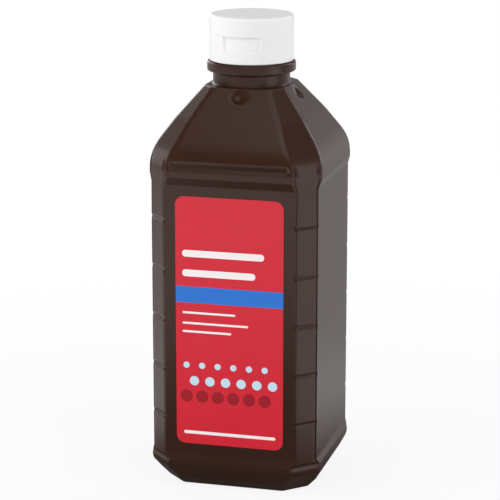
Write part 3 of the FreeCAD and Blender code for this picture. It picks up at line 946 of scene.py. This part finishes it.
# Cap lid
# The white flip-up lid, as wide as the base under it, with a rounded top edge, a hollow underneath and a
# pin that plugs the nozzle. It swings on the living hinge.
lid_round = 1.1 * MM
lid_top_thickness = 1.3 * MM
lid_under = lid_high.z - lid_top_thickness
pin_gap = 0.2 * MM
pin_radius = orifice_radius - pin_gap
pin_reach = 1.6 * MM
pin_low = base_high.z - pin_reach
lid_shape = turned([
    (0, pin_low, 0),
    (pin_radius, pin_low, soft_round),
    (pin_radius, lid_under, soft_round),
    (lid_inside, lid_under, soft_round),
    (lid_inside, lid_low.z, fine_round),
    (cap_radius, lid_low.z, parting_round),
    (cap_radius, lid_high.z, lid_round),
    (0, lid_high.z, 0),
], CAP_STEPS)
flatten_hinge_side(lid_shape, ledge, lid_low.z + hinge_flat_height)
lid = finished("cap_flip_lid", lid_shape, white_plastic)
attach(lid, "lid")
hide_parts("cap_lid")

# Studio
# A white paper sweep that turns up all round. Two wide soft boxes light the sides and two cards show in
# gloss there, with two boxes behind, one high in front and one overhead. The camera has a long lens and
# stands a little above the bottle.
sweep_radius = 2.6
sweep_height = 0.9
sweep_bend = 0.7
BEND_SEGMENTS = 12
SWEEP_STEPS = 96


def paper_sweep():
    """A round floor whose rim turns up into a low wall."""
    shape = bmesh.new()
    corners = ((0, 0, 0), (sweep_radius, 0, 0), (sweep_radius, 0, sweep_height))
    spots = [shape.verts.new(corner) for corner in corners]
    for first, second in zip(spots, spots[1:]):
        shape.edges.new((first, second))
    bmesh.ops.bevel(shape, geom=[spots[1]], offset=sweep_bend, offset_type="OFFSET",
                    segments=BEND_SEGMENTS, profile=0.5, affect="VERTICES", material=-1)
    bmesh.ops.spin(shape, geom=shape.verts[:] + shape.edges[:], cent=(0, 0, 0), axis=(0, 0, 1),
                   angle=math.tau, steps=SWEEP_STEPS, use_merge=True)
    bmesh.ops.remove_doubles(shape, verts=shape.verts, dist=MM)
    bmesh.ops.recalc_face_normals(shape, faces=shape.faces)
    bmesh.ops.reverse_faces(shape, faces=shape.faces)
    return shape


def white_paper():
    """Matt white paper. The camera sees it as plain white, with the bottle's shadow kept near the bottle.
    In gloss it glows as a white band round the bottle, a painted reflection that lights nothing: dim
    close by as a painted shade of the bottle, dim far off in front and at the sides, and less bright
    behind."""
    material, tree, shader = start_material("white_paper")
    spot = add_node(tree, "ShaderNodeTexCoord").outputs["Object"]
    rays = add_node(tree, "ShaderNodeLightPath")
    mirrored = add_node(tree, "ShaderNodeMath", {
        0: rays.outputs["Is Glossy Ray"], 1: rays.outputs["Is Transmission Ray"]}, operation="MAXIMUM")

    def ramp(value, low, high, first, last):
        """A smooth change from a first to a last value while another goes from low to high."""
        change = add_node(tree, "ShaderNodeMapRange", {
            "Value": value, "From Min": low, "From Max": high, "To Min": first, "To Max": last},
            interpolation_type="SMOOTHSTEP")
        return change.outputs["Result"]

    def reach(offset=(0, 0, 0), stretch=(1, 1, 1), most=(9, 9, 9)):
        """Distance from the middle of the floor, moved, stretched and cut off on each axis."""
        moved = add_node(tree, "ShaderNodeVectorMath", {0: spot, 1: offset}, operation="ADD")
        spread = add_node(tree, "ShaderNodeVectorMath", {
            0: moved.outputs[0], 1: stretch}, operation="MULTIPLY")
        cut = add_node(tree, "ShaderNodeVectorMath", {
            0: spread.outputs[0], 1: most}, operation="MINIMUM")
        length = add_node(tree, "ShaderNodeVectorMath", {0: cut.outputs[0]}, operation="LENGTH")
        return length.outputs["Value"]

    def product(first, second):
        """One value times another."""
        return add_node(tree, "ShaderNodeMath", {0: first, 1: second}, operation="MULTIPLY").outputs[0]

    depth = add_node(tree, "ShaderNodeSeparateXYZ", {0: spot}).outputs["Y"]
    near_share = ramp(reach(), low=0.06, high=0.35, first=0.88, last=1.0)
    # Painted shade: the gloss band dims close to the bottle, standing in for the bottle's shadow on the
    # paper.
    near_reach = reach(offset=(0, 0.1, 0), stretch=(2.2, 1, 1))
    painted_shade_close_by = ramp(near_reach, low=0.12, high=0.28, first=0.1, last=1.0)
    far_off = ramp(reach(most=(9, 0, 9)), low=0.6, high=1.2, first=1.0, last=0.12)
    just_behind = ramp(depth, low=0.0, high=0.2, first=1.0, last=0.52)
    far_behind = ramp(depth, low=0.6, high=1.2, first=1.0, last=1.25)
    # The band is a painted reflection: a glow that shows only in gloss.
    band = product(product(painted_shade_close_by, far_off), product(just_behind, far_behind))
    seen = rays.outputs["Is Camera Ray"]
    share = add_node(tree, "ShaderNodeMath", {
        0: seen, 1: near_share, 2: mirrored.outputs[0]}, operation="MULTIPLY_ADD")
    strength = add_node(tree, "ShaderNodeMath", {
        0: mirrored.outputs[0], 1: band, 2: seen}, operation="MULTIPLY_ADD")
    white = add_node(tree, "ShaderNodeEmission", {
        "Color": (1, 1, 1, 1), "Strength": strength.outputs[0]})
    shader.inputs["Base Color"].default_value = paint(230, 230, 230)
    shader.inputs["Roughness"].default_value = 0.9
    shader.inputs["Specular IOR Level"].default_value = 0.1
    both = add_node(tree, "ShaderNodeMixShader", {
        0: share.outputs[0], 1: shader.outputs[0], 2: white.outputs[0]})
    tree.links.new(both.outputs[0], tree.nodes["Material Output"].inputs["Surface"])
    return material


sweep = finished("paper_sweep", paper_sweep(), white_paper())

world_strength = 0.12
world = bpy.data.worlds.new("studio")
bpy.context.scene.world = world
world.use_nodes = True
world.node_tree.nodes["Background"].inputs["Color"].default_value = (1, 1, 1, 1)
world.node_tree.nodes["Background"].inputs["Strength"].default_value = world_strength


bottle_middle = Vector((0, 0, 0.09))


def soft_box(name, place, width, height, power, mirrored=True, lighting=True):
    """A soft box that faces the bottle. It shows in gloss, lights the colours, or does both."""
    lamp = bpy.data.lights.new(name, "AREA")
    lamp.shape = "RECTANGLE"
    lamp.size = width
    lamp.size_y = height
    lamp.energy = power
    box = bpy.data.objects.new(name, lamp)
    box.location = place
    box.rotation_euler = (bottle_middle - Vector(place)).to_track_quat("-Z", "Y").to_euler()
    box.visible_camera = False
    box.visible_glossy = mirrored
    box.visible_diffuse = lighting
    bpy.context.scene.collection.objects.link(box)


soft_box("right_box", (0.9, -0.45, 0.48), width=1.1, height=0.9, power=6.7, mirrored=False)
soft_box("left_box", (-0.85, -0.5, 0.48), width=1.1, height=0.9, power=9.6, mirrored=False)
soft_box("right_back_box", (0.8, 0.85, 0.5), width=0.5, height=0.8, power=3.2)
soft_box("left_card", (-0.84, 0.35, 0.24), width=0.5, height=0.38, power=0.76, lighting=False)
soft_box("right_card", (0.86, -0.2, 0.24), width=0.5, height=0.48, power=0.8, lighting=False)
soft_box("left_back_box", (-0.7, 0.95, 0.5), width=0.5, height=0.8, power=4.0)
soft_box("high_box", (0.15, -0.55, 1.05), width=0.9, height=0.7, power=1.6)
soft_box("top_box", (0.0, 0.3, 1.1), width=0.8, height=0.8, power=2.4)

camera_place = Vector((0.2021, -0.7560, 0.2816))
camera_aim = Vector((-0.000579, -0.000155, 0.08549))
lens = bpy.data.cameras.new("camera")
lens.sensor_width = 36.0
lens.lens = 153.05
camera = bpy.data.objects.new("camera", lens)
camera.location = camera_place
camera.rotation_euler = (camera_aim - camera_place).to_track_quat("-Z", "Y").to_euler()
bpy.context.scene.collection.objects.link(camera)
bpy.context.scene.camera = camera
bpy.context.scene.view_settings.view_transform = "Standard"
